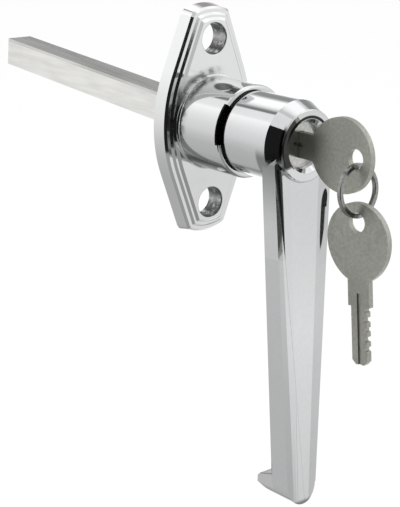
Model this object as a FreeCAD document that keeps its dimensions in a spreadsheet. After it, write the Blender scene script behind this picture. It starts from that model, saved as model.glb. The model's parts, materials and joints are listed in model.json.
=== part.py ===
import FreeCAD, Part
import math
import os
import Sketcher
from FreeCAD import Placement, Rotation, Vector

# Garage door handle lock, in millimetres.
# The hub turns about the Y axis: +Y goes into the door, -Y faces the user, +Z is up.
# The origin is the centre of the mounting face of the base plate.
# A depth below is measured from that face towards the user, unless a note says otherwise.

SIZES = [
    ("hole_spacing", 44.45, "between the centres of the two fixing holes"),
    ("hole_diameter", 8.3, "fixing holes"),
    ("edge_round", 0.3, "small rounds on cast edges"),
    ("plate_width", 31.75, "base plate across its middle"),
    ("plate_height", 62.2, "base plate from tip to tip"),
    ("side_slope", 21.8, "lean of the plate's straight sides, in degrees"),
    ("waist_radius", 36.5, "arc at the middle of each side"),
    ("tip_radius", 17.0, "arc at the top and the bottom of the plate"),
    ("corner_radius", 3.0, "corner between a side and a tip arc"),
    ("sharpest_corner", 0.6, "least radius of that corner further in"),
    ("wall_height", 3.45, "outer wall of the plate"),
    ("wall_lean", 0.6, "how far that wall leans in at its front"),
    ("low_ledge_height", 4.1, "outer ledge of the border"),
    ("low_ledge_outer", 1.2, "border: from the outline to the outer ledge"),
    ("low_ledge_inner", 2.1, "border: from the outline to the second slope"),
    ("high_ledge_height", 4.7, "inner ledge of the border"),
    ("high_ledge_outer", 2.7, "border: from the outline to the inner ledge"),
    ("high_ledge_inner", 3.3, "border: from the outline to the third slope"),
    ("plate_thickness", 5.3, "raised middle of the plate"),
    ("border_width", 4.0, "border: from the outline to the raised middle"),
    ("rim_wall", 2.4, "wall left round the hollow back"),
    ("hollow_depth", 2.8, "hollow in the back of the plate"),
    ("boss_radius", 6.4, "boss round each fixing hole, at the back"),
    ("collar_radius", 12.3, "collar on the plate"),
    ("collar_reach", 21.4, "front of the collar"),
    ("collar_fillet", 0.9, "fillet between the collar and the plate"),
    ("collar_round", 0.8, "round on the front edge of the collar"),
    ("recess_depth", 1.3, "recess in the front of the collar, on the left"),
    ("recess_low", -10.0, "lower end of that recess, in degrees above the level line"),
    ("recess_high", 42.0, "upper end of that recess, in degrees above the level line"),
    ("shank_radius", 8.0, "round shank of the handle in the collar"),
    ("turning_gap", 0.06, "radial gap of a part that turns"),
    ("sliding_gap", 0.05, "gap at each side of a part that slides"),
    ("seat_radius", 10.3, "seat for washer and ring, in the back of the plate"),
    ("seat_depth", 2.9, "the same seat"),
    ("rear_washer_thickness", 0.8, "washer behind the plate"),
    ("washer_gap", 0.15, "play of a washer at its rim"),
    ("retaining_ring_thickness", 1.0, "retaining ring"),
    ("retaining_ring_rear", 0.9, "rear face of the retaining ring"),
    ("retaining_ring_radius", 9.9, "retaining ring, outside"),
    ("retaining_ring_groove", 0.9, "depth of its groove in the shank"),
    ("retaining_ring_opening", 5.0, "open side of the retaining ring"),
    ("front_washer_thickness", 0.9, "washer between collar and hub"),
    ("front_washer_radius", 10.5, "the same washer, outside"),
    ("hub_gap", 0.96, "between the collar's front and the hub"),
    ("hub_rear_radius", 11.0, "hub at the collar"),
    ("hub_front_radius", 11.1, "hub just behind its tapered front"),
    ("hub_taper_depth", 37.3, "where the hub's front starts to taper"),
    ("hub_face_radius", 9.2, "front face of the hub"),
    ("hub_front", 41.65, "front face of the hub, level with the lock"),
    ("hub_round", 0.5, "round on the edge of that face"),
    ("lever_tip", 96.75, "tip of the lever below the hub axis"),
    ("lever_neck", 6.0, "top of the lever inside the hub, above the hub axis"),
    ("lever_neck_width", 15.0, "whole width there"),
    ("lever_neck_face", 8.0, "width of the front face there"),
    ("lever_shoulder", 4.0, "where the lever's straight sides start, below the hub axis"),
    ("lever_front_top", 40.6, "front of the lever at that shoulder"),
    ("lever_front_tip", 45.6, "front of the lever at its tip"),
    ("lever_back_top", 35.5, "back of the lever at the shoulder"),
    ("lever_back_tip", 38.9, "back of the lever at its tip"),
    ("lever_face_top", 10.2, "width of the front face at the shoulder"),
    ("lever_face_tip", 3.9, "width of the front face at the tip"),
    ("lever_width_top", 20.0, "whole width at the shoulder"),
    ("lever_width_tip", 9.8, "whole width at the tip"),
    ("lever_bevel_depth", 0.5, "how far the side bevels fall back"),
    ("lip_reach", 6.3, "hooked lip behind the lever at its tip"),
    ("lip_end_height", 2.8, "thickness of the lip at its end"),
    ("lip_top", 7.9, "root of the lip above the tip"),
    ("lip_fall", 1.9, "how far the lip's top falls to its end"),
    ("lip_inset", 0.3, "lip narrower than the lever, each side"),
    ("lip_round", 1.0, "rounded end of the lip"),
    ("spindle_side", 7.94, "square spindle, five sixteenths of an inch"),
    ("spindle_reach", 88.0, "end of the level spindle, behind the mounting face"),
    ("spindle_lean", 4.3, "how far the spindle rocks up about its cross pin, in degrees"),
    ("spindle_chamfer", 1.6, "end of the spindle"),
    ("spindle_front", 12.0, "front end of the spindle, in its socket"),
    ("spindle_pin_radius", 1.25, "cross pin through the spindle"),
    ("spindle_pin_depth", 6.4, "place of the cross pin"),
    ("shell_radius", 7.25, "lock shell"),
    ("shell_rear", 24.0, "rear face of the lock shell"),
    ("shell_rear_wall", 1.5, "rear wall of the lock shell"),
    ("shell_mouth_land", 0.35, "flat land round the bevelled mouth of the shell"),
    ("shell_mouth_depth", 1.2, "bevelled mouth of the shell"),
    ("plug_radius", 5.9, "lock plug"),
    ("plug_face", 39.0, "front of the plug, sunk in the shell"),
    ("tail_radius", 4.0, "plug tail through the shell's rear wall"),
    ("tail_end", 19.0, "end of the plug's tail"),
    ("clip_thickness", 0.6, "clip on the plug's tail"),
    ("clip_radius", 5.2, "the same clip, outside"),
    ("clip_groove", 0.7, "depth of its groove in the tail"),
    ("tail_room_radius", 5.8, "bore behind the shell"),
    ("cam_radius", 2.0, "cam pin, from the plug's axis"),
    ("cam_pin_radius", 1.0, "cam pin"),
    ("cam_gap", 0.15, "cam pin in the bolt's slot"),
    ("bolt_depth", 15.2, "rear face of the bolt"),
    ("bolt_thickness", 3.0, "bolt"),
    ("bolt_half_width", 3.9, "body of the bolt"),
    ("bolt_low", 3.8, "bottom of the bolt below the axis"),
    ("bolt_shoulder", 3.4, "shoulder of the bolt above the axis"),
    ("bolt_tip", 7.5, "tip of the drawn bolt above the axis"),
    ("bolt_tip_half_width", 2.5, "tip of the bolt"),
    ("notch_gap", 0.35, "room for the bolt in the collar"),
    ("key_thickness", 1.6, "key"),
    ("bow_radius", 9.45, "round end of the key's head"),
    ("bow_taper", 9.95, "from the head's widest place to the neck"),
    ("bow_hole_radius", 2.5, "hole in the key"),
    ("bow_hole_edge", 5.0, "from the end of the head to the hole's centre"),
    ("neck_width", 6.6, "neck of the key"),
    ("neck_length", 6.7, "neck of the key"),
    ("neck_seat", 1.7, "recess in the plug's face for the neck"),
    ("blade_width", 4.8, "blade of the key"),
    ("blade_length", 14.9, "blade of the key"),
    ("blade_tip", 1.1, "slanted corners at the tip of the blade"),
    ("blade_groove_width", 1.1, "groove along the blade"),
    ("blade_groove_depth", 0.4, "the same groove"),
    ("cut_width", 0.8, "flat bottom of a cut in the blade"),
    ("key_gap", 0.1, "key in the keyway, each side"),
    ("wafer_thickness", 1.0, "wafer"),
    ("wafer_half_width", 2.8, "wafer"),
    ("wafer_half_height", 5.1, "wafer"),
    ("wafer_pitch", 2.5, "from wafer to wafer"),
    ("wafer_first", 36.7, "centre of the first wafer"),
    ("lug_reach", 5.0, "lug of a wafer, from the axis"),
    ("lug_bottom", 2.0, "lower face of that lug"),
    ("lug_top", 3.0, "upper face of that lug"),
    ("spring_radius", 0.8, "coil spring under the lug of a wafer"),
    ("spring_wire", 0.3, "wire of that spring"),
    ("spring_length", 4.0, "the same spring, pressed"),
    ("spring_offset", 4.2, "the same spring, from the plug's axis"),
    ("shell_pin_radius", 1.0, "pin that holds the lock shell"),
    ("shell_pin_depth", 29.0, "place of that pin"),
    ("shell_pin_bite", 0.8, "how far that pin goes into the shell"),
    ("shell_pin_low", 10.9, "lower end of that pin below the axis"),
    ("key_ring_radius", 6.8, "key ring, outside"),
    ("key_ring_wire", 1.2, "key ring, across one turn"),
    ("key_ring_turn", 0.62, "key ring, thickness of one turn"),
    ("key_ring_split", 0.5, "gap between the ends of the ring's wire"),
    ("key_ring_play", 0.28, "between the ring and the edge of a key's hole, to let it swing"),
    ("hang_lean", 6.0, "how far the ring and the spare key hang towards the user, in degrees"),
    ("spare_turn", 4.0, "how far the spare key is turned about the ring's hanging line, in degrees"),
]
WAFERS = 5
CUT_DEPTHS = [0.4, 0.8, 0.5, 0.9, 0.6]


class Size:
    """A number together with the spreadsheet formula that gives it."""

    def __init__(self, number, text):
        self.number = float(number)
        self.text = text

    def join(self, other, sign, number):
        return Size(number, "(%s %s %s)" % (self.text, sign, other.text))

    def __add__(self, other):
        other = as_size(other)
        return self.join(other, "+", self.number + other.number)

    def __radd__(self, other):
        return as_size(other) + self

    def __sub__(self, other):
        other = as_size(other)
        return self.join(other, "-", self.number - other.number)

    def __rsub__(self, other):
        return as_size(other) - self

    def __mul__(self, other):
        other = as_size(other)
        return self.join(other, "*", self.number * other.number)

    def __rmul__(self, other):
        return as_size(other) * self

    def __truediv__(self, other):
        other = as_size(other)
        return self.join(other, "/", self.number / other.number)

    def __neg__(self):
        return Size(-self.number, "(0 - %s)" % self.text)


def as_size(value):
    """Turn a plain number into a Size; leave a Size as it is."""
    if isinstance(value, Size):
        return value
    return Size(value, "(%r)" % float(value))


doc = FreeCAD.newDocument("GarageDoorHandleLock")
sheet = doc.addObject("Spreadsheet::Sheet", "Sizes")
S = {}
for row, (name, number, note) in enumerate(SIZES, start=1):
    sheet.set("A%d" % row, name)
    sheet.set("B%d" % row, str(number))
    sheet.set("C%d" % row, note)
    sheet.setAlias("B%d" % row, name)
    S[name] = Size(number, "Sizes." + name)
doc.recompute()

TURNING = S["turning_gap"]
SLIDING = S["sliding_gap"]
HALF_RIGHT = math.sqrt(0.5)
# The cam pin swings a quarter turn, from 45 degrees below the level line to 45 degrees above it.
CAM_SIDE = S["cam_radius"] * HALF_RIGHT
BOLT_TRAVEL = 2 * CAM_SIDE
HUB_REAR = S["collar_reach"] + S["hub_gap"]
# The spindle's socket is taller than the spindle, so that the spindle rocks on its cross pin.
LEAN = math.radians(S["spindle_lean"].number)
PLUG_REAR = S["shell_rear"] + S["shell_rear_wall"] + S["sliding_gap"]
BOLT_FRONT = S["bolt_depth"] + S["bolt_thickness"]
KEY_SEAT = S["plug_face"] - S["neck_seat"] + S["sliding_gap"]
BLADE_END = KEY_SEAT - S["blade_length"]
# The head tapers to the neck; its hole is measured from the far end.
BOW_CENTRE = KEY_SEAT + S["neck_length"] + S["bow_taper"]
BOW_END = BOW_CENTRE + S["bow_radius"]
HOLE_DEPTH = BOW_END - S["bow_hole_edge"]
# The ring rests on the bottom of the first key's hole, and the spare key hangs on the ring.
# RING_PIVOT is the height of the ring's wire in that hole. The rest is measured down from there.
RING_PIVOT = S["key_ring_wire"] / 2 + S["key_ring_play"] - S["bow_hole_radius"]
RING_CENTRE = S["key_ring_radius"] - S["key_ring_wire"] / 2
SPARE_HOLE = 2 * RING_CENTRE - RING_PIVOT
SUBPARTS = []


# Helpers for bodies, sketches and features

def bind(obj, prop, size):
    """Tie one property of an object to the spreadsheet."""
    obj.setExpression(prop, as_size(size).text)


def new_body(name):
    body = doc.addObject("PartDesign::Body", name)
    body.Label = name
    SUBPARTS.append(body)
    return body


def origin_feature(body, role):
    return [f for f in body.Origin.OriginFeatures if f.Role == role][0]


def new_sketch(body, role, offset=0.0):
    """A sketch on one of the body's own planes, moved along that plane's normal."""
    sketch = body.newObject("Sketcher::SketchObject", body.Name + "_outline")
    sketch.AttachmentSupport = (origin_feature(body, role), [""])
    sketch.MapMode = "FlatFace"
    bind(sketch, "AttachmentOffset.Base.z", offset)
    return sketch


def front_sketch(body, depth=0.0):
    """A sketch seen from the front: its x is X, its y is Z, and it lies at the given depth."""
    return new_sketch(body, "XZ_Plane", depth)


def side_sketch(body, offset=0.0):
    """A sketch seen from the side: its x is Y, its y is Z."""
    return new_sketch(body, "YZ_Plane", offset)


def tie(sketch, kind, *items):
    """Add a constraint whose last item is a Size, and tie it to the spreadsheet."""
    size = as_size(items[-1])
    number = sketch.addConstraint(Sketcher.Constraint(kind, *items[:-1], size.number))
    sketch.setExpression("Constraints[%d]" % number, size.text)


def tie_point(sketch, edge, end, x, y):
    """Put one end or the centre of an edge at x, y, both tied to the spreadsheet."""
    tie(sketch, "DistanceX", -1, 1, edge, end, x)
    tie(sketch, "DistanceY", -1, 1, edge, end, y)


def arc_between(start, end, centre):
    """The counter-clockwise arc from start to end."""
    round_edge = Part.Circle(centre, Vector(0, 0, 1), (start - centre).Length)
    first = math.atan2(start.y - centre.y, start.x - centre.x)
    last = math.atan2(end.y - centre.y, end.x - centre.x)
    return Part.ArcOfCircle(round_edge, first, last)


def polygon(sketch, points, arcs=None):
    """A closed counter-clockwise outline with every corner tied to the spreadsheet.

    An edge is straight unless arcs gives its centre x, y and its radius, under the number of the
    corner that it starts from. A negative radius makes the arc hollow, so that it runs clockwise.
    """
    arcs = arcs or {}
    sizes = [(as_size(x), as_size(y)) for x, y in points]
    places = [Vector(x.number, y.number, 0) for x, y in sizes]
    first = sketch.GeometryCount
    count = len(points)
    ends = []
    for i in range(count):
        start, end = places[i], places[(i + 1) % count]
        if i not in arcs:
            sketch.addGeometry(Part.LineSegment(start, end), False)
            ends.append((1, 2))
            continue
        centre = Vector(as_size(arcs[i][0]).number, as_size(arcs[i][1]).number, 0)
        hollow = arcs[i][2].number < 0
        edge = arc_between(end, start, centre) if hollow else arc_between(start, end, centre)
        sketch.addGeometry(edge, False)
        ends.append((2, 1) if hollow else (1, 2))
    for i in range(count):
        after = (i + 1) % count
        sketch.addConstraint(Sketcher.Constraint(
            "Coincident", first + i, ends[i][1], first + after, ends[after][0]))
        tie_point(sketch, first + i, ends[i][0], sizes[i][0], sizes[i][1])
        if i not in arcs:
            continue
        radius = -arcs[i][2] if arcs[i][2].number < 0 else arcs[i][2]
        chord = places[after] - places[i]
        if chord.Length < 2 * radius.number - 1e-6:
            tie(sketch, "Radius", first + i, radius)
        elif abs(chord.y) < 1e-6:
            # A half circle is fixed by the level of its centre, not by its radius.
            tie(sketch, "DistanceY", -1, 1, first + i, 3, arcs[i][1])
        else:
            tie(sketch, "DistanceX", -1, 1, first + i, 3, arcs[i][0])


def rectangle(sketch, x_low, y_low, x_high, y_high):
    polygon(sketch, [(x_low, y_low), (x_high, y_low), (x_high, y_high), (x_low, y_high)])


def circle(sketch, x, y, radius):
    x, y, radius = as_size(x), as_size(y), as_size(radius)
    round_edge = Part.Circle(Vector(x.number, y.number, 0), Vector(0, 0, 1), radius.number)
    index = sketch.addGeometry(round_edge, False)
    tie(sketch, "Radius", index, radius)
    tie_point(sketch, index, 3, x, y)


def pad(body, sketch, length, both_ways=False):
    """Add the outline's material along the sketch's normal: a front sketch's is to the user."""
    feature = body.newObject("PartDesign::Pad", body.Name + "_pad")
    feature.Profile = sketch
    feature.Midplane = both_ways
    bind(feature, "Length", length)
    doc.recompute()
    return feature


def pocket(body, sketch, length, along_normal=True, both_ways=False):
    """Cut the outline away, and make sure that something was cut."""
    before = body.Shape.Volume
    feature = body.newObject("PartDesign::Pocket", body.Name + "_pocket")
    feature.Profile = sketch
    feature.Midplane = both_ways
    feature.Reversed = along_normal
    bind(feature, "Length", length)
    doc.recompute()
    if body.Shape.Volume > before - 1e-4:
        raise RuntimeError("a pocket of %s cuts nothing" % body.Name)
    return feature


def turned(body, points, kind="PartDesign::Revolution", arcs=None):
    """A body of revolution about the hub axis from (depth, radius) points."""
    sketch = side_sketch(body)
    polygon(sketch, [(-as_size(depth), radius) for depth, radius in points], arcs)
    feature = body.newObject(kind, body.Name + "_turned")
    feature.Profile = sketch
    feature.ReferenceAxis = (origin_feature(body, "Y_Axis"), [""])
    feature.Angle = 360.0
    doc.recompute()
    return feature


def groove(body, points):
    """Turn a groove into a body, and make sure that something was cut."""
    before = body.Shape.Volume
    feature = turned(body, points, "PartDesign::Groove")
    if body.Shape.Volume > before - 1e-4:
        raise RuntimeError("a groove of %s cuts nothing" % body.Name)
    return feature


def washer(body, rear, front, inner, outer):
    """A flat ring about the hub axis."""
    turned(body, [(rear, inner), (rear, outer), (front, outer), (front, inner)])


def loft(body, sketches):
    feature = body.newObject("PartDesign::AdditiveLoft", body.Name + "_loft")
    feature.Profile = sketches[0]
    feature.Sections = sketches[1:]
    feature.Ruled = True
    doc.recompute()
    return feature


def soften(body, test, size, kind="Fillet"):
    """Round or chamfer the edges of a body that pass a test."""
    base = body.Tip
    names = ["Edge%d" % (i + 1) for i, edge in enumerate(base.Shape.Edges) if test(edge)]
    if not names:
        raise RuntimeError("no edge of %s to round" % body.Name)
    feature = body.newObject("PartDesign::" + kind, body.Name + "_" + kind.lower())
    feature.Base = (base, names)
    bind(feature, "Radius" if kind == "Fillet" else "Size", size)
    doc.recompute()
    return feature


def is_circle(edge, radius, depth, z=0.0):
    """Is this edge a circle about the Y direction, of this radius, depth and height?"""
    curve = edge.Curve
    if not isinstance(curve, Part.Circle):
        return False
    gaps = [curve.Radius - radius, curve.Center.y + depth, curve.Center.x, curve.Center.z - z]
    return all(abs(gap) < 1e-3 for gap in gaps)


# Base plate: flange with a stepped border, collar, hollow back

def plate_outline(sketch, inset):
    """The plate's outline, moved inwards: two waist arcs, four sides, two tip arcs, four corners."""
    inset = as_size(inset)
    slope = math.radians(S["side_slope"].number)
    waist = S["waist_radius"] - inset
    tip = S["tip_radius"] - inset
    corner = S["corner_radius"] - inset
    if corner.number < S["sharpest_corner"].number:
        corner = S["sharpest_corner"]
    waist_x = S["plate_width"] / 2 - S["waist_radius"]
    tip_z = S["plate_height"] / 2 - S["tip_radius"]
    side = Vector(math.cos(slope), math.sin(slope), 0)
    along = Vector(-math.sin(slope), math.cos(slope), 0)
    waist_centre = Vector(waist_x.number, 0, 0)
    tip_centre = Vector(0, tip_z.number, 0)
    # The corner's centre lies one corner radius inside the side and inside the tip arc.
    off = waist_centre.dot(side) + waist.number - corner.number - tip_centre.dot(side)
    rise = math.sqrt((tip.number - corner.number) ** 2 - off ** 2)
    corner_centre = tip_centre + side * off + along * rise
    waist_end = waist_centre + side * waist.number
    corner_start = corner_centre + side * corner.number
    corner_end = tip_centre + (corner_centre - tip_centre).normalize() * tip.number

    def arc(start, end, centre):
        return sketch.addGeometry(arc_between(start, end, centre), False)

    def line(start, end):
        return sketch.addGeometry(Part.LineSegment(start, end), False)

    def at(point, x_sign, z_sign):
        return Vector(point.x * x_sign, point.y * z_sign, 0)

    # Each half runs counter-clockwise: waist, side, corner, tip, corner, side.
    order, waists, tips, corners = [], [], [], []
    for sign in (1, -1):
        waists.append(arc(at(waist_end, sign, -sign), at(waist_end, sign, sign),
                          at(waist_centre, sign, 1)))
        rising = line(at(waist_end, sign, sign), at(corner_start, sign, sign))
        first = arc(at(corner_start, sign, sign), at(corner_end, sign, sign),
                    at(corner_centre, sign, sign))
        tips.append(arc(at(corner_end, sign, sign), at(corner_end, -sign, sign),
                        at(tip_centre, 1, sign)))
        second = arc(at(corner_end, -sign, sign), at(corner_start, -sign, sign),
                     at(corner_centre, -sign, sign))
        falling = line(at(corner_start, -sign, sign), at(waist_end, -sign, sign))
        order += [waists[-1], rising, first, tips[-1], second, falling]
        corners += [first, second]
    for edge, following in zip(order, order[1:] + order[:1]):
        sketch.addConstraint(Sketcher.Constraint("Tangent", edge, 2, following, 1))
    for index, sign in zip(waists, (1, -1)):
        tie(sketch, "Radius", index, waist)
        tie_point(sketch, index, 3, sign * waist_x, 0.0)
    for index, sign in zip(tips, (1, -1)):
        tie(sketch, "Radius", index, tip)
        tie_point(sketch, index, 3, 0.0, sign * tip_z)
    for index in corners:
        tie(sketch, "Radius", index, corner)


def fixing_hole(body, height):
    """A hole with a rounded mouth, turned about its own axis so that the mouth may cross a slope."""
    before = body.Shape.Volume
    radius, face = S["hole_diameter"] / 2, -S["plate_thickness"]
    mouth, throat = radius + S["edge_round"], face + S["edge_round"]
    sketch = new_sketch(body, "XY_Plane", height)
    polygon(sketch, [
        (0.0, face - 1.0), (mouth, face - 1.0), (mouth, face), (radius, throat), (radius, 1.0),
        (0.0, 1.0),
    ], arcs={2: (mouth, throat, -S["edge_round"])})
    feature = body.newObject("PartDesign::Groove", body.Name + "_hole")
    feature.Profile = sketch
    feature.ReferenceAxis = (sketch, ["V_Axis"])
    feature.Angle = 360.0
    doc.recompute()
    if body.Shape.Volume > before - 1e-4:
        raise RuntimeError("a fixing hole of %s cuts nothing" % body.Name)


def make_base_plate():
    body = new_body("base_plate")
    thickness = S["plate_thickness"]
    slopes = [
        (0.0, 0.0, S["wall_height"], S["wall_lean"]),
        (S["wall_height"], S["wall_lean"], S["low_ledge_height"], S["low_ledge_outer"]),
        (S["low_ledge_height"], S["low_ledge_inner"], S["high_ledge_height"],
         S["high_ledge_outer"]),
        (S["high_ledge_height"], S["high_ledge_inner"], thickness, S["border_width"]),
    ]
    for low, wide, high, narrow in slopes:
        lower = front_sketch(body, low)
        plate_outline(lower, wide)
        upper = front_sketch(body, high)
        plate_outline(upper, narrow)
        loft(body, [lower, upper])
    # The collar stands on a hollow fillet. Below it a steep cone runs down to the border,
    # because the border starts inside the collar at the plate's waist.
    radius, fillet = S["collar_radius"], S["collar_fillet"]
    throat = thickness + fillet
    lean = math.radians(60)
    foot_depth = throat - fillet * math.sin(lean)
    foot_radius = radius + fillet * (1 - math.cos(lean))
    root = S["low_ledge_height"] - S["edge_round"]
    turned(body, [
        (0.0, 0.0), (S["collar_reach"], 0.0), (S["collar_reach"], radius), (throat, radius),
        (foot_depth, foot_radius),
        (root, foot_radius + (foot_depth - root) * (1 / math.tan(lean))), (0.0, radius),
    ], arcs={3: (-throat, radius + fillet, fillet)})
    soften(body, lambda e: is_circle(e, radius.number, S["collar_reach"].number),
           S["collar_round"])
    # The bosses round the fixing holes and the hub wall stay as high as the rim.
    hollow = front_sketch(body)
    plate_outline(hollow, S["rim_wall"])
    pocket(body, hollow, S["hollow_depth"])
    bosses = front_sketch(body)
    circle(bosses, 0.0, 0.0, S["collar_radius"])
    for sign in (1, -1):
        circle(bosses, 0.0, sign * S["hole_spacing"] / 2, S["boss_radius"])
    pad(body, bosses, S["hollow_depth"] + S["edge_round"])
    for sign in (1, -1):
        fixing_hole(body, sign * S["hole_spacing"] / 2)
    bore = front_sketch(body)
    circle(bore, 0.0, 0.0, S["shank_radius"] + TURNING)
    pocket(body, bore, S["collar_reach"])
    seat = front_sketch(body)
    circle(seat, 0.0, 0.0, S["seat_radius"])
    pocket(body, seat, S["seat_depth"])
    # Notches in the bore take the bolt, so that the handle locks upright and at each side.
    half = S["bolt_tip_half_width"] + S["notch_gap"]
    top = S["bolt_tip"] + BOLT_TRAVEL + S["notch_gap"]
    upright = front_sketch(body, S["bolt_depth"] - S["notch_gap"])
    rectangle(upright, -half, 0.0, half, top)
    pocket(body, upright, S["bolt_thickness"] + 2 * S["notch_gap"])
    level = front_sketch(body, S["bolt_depth"] - S["notch_gap"])
    rectangle(level, -top, -half, top, half)
    pocket(body, level, S["bolt_thickness"] + 2 * S["notch_gap"])
    recess = front_sketch(body, S["collar_reach"] - S["recess_depth"])
    low, high = math.radians(S["recess_low"].number), math.radians(S["recess_high"].number)
    near, far = S["shank_radius"], 1.2 * S["collar_radius"]
    polygon(recess, [
        (-far * math.cos(high), far * math.sin(high)), (-far * math.cos(low), far * math.sin(low)),
        (-near * math.cos(low), near * math.sin(low)),
        (-near * math.cos(high), near * math.sin(high)),
    ])
    pocket(body, recess, S["recess_depth"] + 1.0)


# Handle: hub, lever with a hooked lip, and the shank that turns in the collar

def lever_section(body, height, face, width, front, back):
    """One cross-section of the lever: flat face, two shallow bevels, side walls, flat back."""
    sketch = new_sketch(body, "XY_Plane", height)
    bevel = front - S["lever_bevel_depth"]
    polygon(sketch, [
        (-face / 2, -front), (face / 2, -front), (width / 2, -bevel), (width / 2, -back),
        (-width / 2, -back), (-width / 2, -bevel),
    ])
    return sketch


def round_the_tip(body, tip, radius):
    """Cut the end of the lever to a half circle as seen from the front."""
    level = tip + radius
    wide = 2 * radius
    low = tip - radius / 2
    cutter = front_sketch(body, S["lever_back_tip"] - S["lip_reach"] - radius)
    polygon(cutter, [
        (-wide, low), (wide, low), (wide, level), (radius, level), (-radius, level),
        (-wide, level),
    ], arcs={3: (0.0, level, -radius)})
    pocket(body, cutter, S["lever_front_tip"])


def make_handle():
    body = new_body("handle")
    turned(body, [
        (HUB_REAR, 0.0), (S["hub_front"], 0.0), (S["hub_front"], S["hub_face_radius"]),
        (S["hub_taper_depth"], S["hub_front_radius"]), (HUB_REAR, S["hub_rear_radius"]),
    ])
    soften(body, lambda e: is_circle(e, S["hub_face_radius"].number, S["hub_front"].number),
           S["hub_round"])
    # The lever grows out of the hub with slanted shoulders.
    neck = lever_section(body, S["lever_neck"], S["lever_neck_face"], S["lever_neck_width"],
                         S["lever_front_top"], S["lever_back_top"])
    shoulder = lever_section(body, -S["lever_shoulder"], S["lever_face_top"],
                             S["lever_width_top"], S["lever_front_top"], S["lever_back_top"])
    low = lever_section(body, -S["lever_tip"], S["lever_face_tip"], S["lever_width_tip"],
                        S["lever_front_tip"], S["lever_back_tip"])
    loft(body, [neck, shoulder, low])
    lip = side_sketch(body)
    back = -S["lever_back_tip"]
    end = back + S["lip_reach"]
    tip = -S["lever_tip"]
    root = tip + S["lip_top"]
    end_top = root - S["lip_fall"]
    polygon(lip, [
        (back - S["lip_round"], tip), (back + S["lip_round"], tip),
        (end, end_top - S["lip_end_height"]), (end, end_top - S["lip_round"]),
        (end - S["lip_round"], end_top), (back - S["lip_round"], root),
    ])
    pad(body, lip, S["lever_width_tip"] - 2 * S["lip_inset"], both_ways=True)
    round_the_tip(body, tip, S["lever_width_tip"] / 2)
    turned(body, [
        (S["edge_round"], 0.0), (HUB_REAR, 0.0), (HUB_REAR, S["shank_radius"]),
        (S["edge_round"], S["shank_radius"]),
    ])
    # Bore for the lock, room for its tail, and the slot for the bolt.
    bore = front_sketch(body, S["shell_rear"])
    circle(bore, 0.0, 0.0, S["shell_radius"])
    pocket(body, bore, S["hub_front"])
    room = front_sketch(body, BOLT_FRONT + SLIDING)
    circle(room, 0.0, 0.0, S["tail_room_radius"])
    pocket(body, room, S["shell_rear"] - BOLT_FRONT)
    slot_depth = S["bolt_depth"] - SLIDING
    slot_length = S["bolt_thickness"] + 2 * SLIDING
    half = S["bolt_half_width"] + SLIDING
    slot = front_sketch(body, slot_depth)
    rectangle(slot, -half, -S["bolt_low"] - 4 * SLIDING, half,
              S["bolt_shoulder"] + BOLT_TRAVEL + 2 * SLIDING)
    pocket(body, slot, slot_length)
    mouth_half = S["bolt_tip_half_width"] + SLIDING
    mouth = front_sketch(body, slot_depth)
    rectangle(mouth, -mouth_half, 0.0, mouth_half, S["shank_radius"] + 1.0)
    pocket(body, mouth, slot_length)
    # Square socket for the spindle, with its cross hole, and the retaining ring's groove.
    half = S["spindle_side"] / 2 + SLIDING
    high = half + S["spindle_pin_depth"] * math.tan(LEAN)
    socket = front_sketch(body)
    rectangle(socket, -half, -high, half, high)
    pocket(body, socket, S["spindle_front"] + half * math.sin(LEAN) + SLIDING)
    cross = side_sketch(body)
    circle(cross, -S["spindle_pin_depth"], 0.0, S["spindle_pin_radius"])
    pocket(body, cross, 2 * S["shank_radius"] + 1.0, both_ways=True)
    ring_front = S["retaining_ring_rear"] + S["retaining_ring_thickness"]
    bottom = S["shank_radius"] - S["retaining_ring_groove"]
    over = S["shank_radius"] + 1.0
    groove(body, [
        (S["retaining_ring_rear"], bottom), (S["retaining_ring_rear"], over),
        (ring_front, over), (ring_front, bottom),
    ])
    # Hole from below for the pin that holds the lock shell.
    hole = new_sketch(body, "XY_Plane", -(S["shell_radius"] - 0.2))
    circle(hole, 0.0, -S["shell_pin_depth"], S["shell_pin_radius"])
    pocket(body, hole, S["hub_front_radius"], along_normal=False)


# Spindle, its pin, the rings and washers that hold the handle in the collar

def make_spindle():
    """The spindle in its own frame: its cross pin is at the origin and the bar points to +Y."""
    body = new_body("square_spindle")
    half = S["spindle_side"] / 2
    reach = S["spindle_reach"] + S["spindle_pin_depth"]
    section = front_sketch(body, -reach)
    rectangle(section, -half, -half, half, half)
    pad(body, section, reach + S["spindle_front"] - S["spindle_pin_depth"])
    far = reach.number

    def on_far_end(edge):
        return all(abs(v.Point.y - far) < 1e-3 for v in edge.Vertexes)

    soften(body, on_far_end, S["spindle_chamfer"], "Chamfer")
    cross = side_sketch(body)
    circle(cross, 0.0, 0.0, S["spindle_pin_radius"] + TURNING)
    pocket(body, cross, S["spindle_side"] + 1.0, both_ways=True)
    turn = Rotation(Vector(1, 0, 0), S["spindle_lean"].number)
    body.Placement = Placement(Vector(0, 0, 0), turn)
    bind(body, "Placement.Base.y", -S["spindle_pin_depth"])


def make_pin(name, radius, length, centre, axis):
    """A plain straight pin whose middle lies at the centre."""
    pin = doc.addObject("Part::Cylinder", name)
    pin.Label = name
    bind(pin, "Radius", radius)
    bind(pin, "Height", length)
    places = {"x": centre[0], "y": centre[1], "z": centre[2]}
    turn = Rotation(Vector(0, 0, 1), axis)
    pin.Placement = Placement(Vector(0, 0, 0), turn)
    for letter, step in zip("xyz", (axis.x, axis.y, axis.z)):
        bind(pin, "Placement.Base." + letter, as_size(places[letter]) - length * (step / 2))
    SUBPARTS.append(pin)


def make_spindle_pin():
    length = 2 * (S["shank_radius"] - 3 * SLIDING)
    make_pin("spindle_pin", S["spindle_pin_radius"], length,
             (0.0, -S["spindle_pin_depth"], 0.0), Vector(1, 0, 0))


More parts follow.
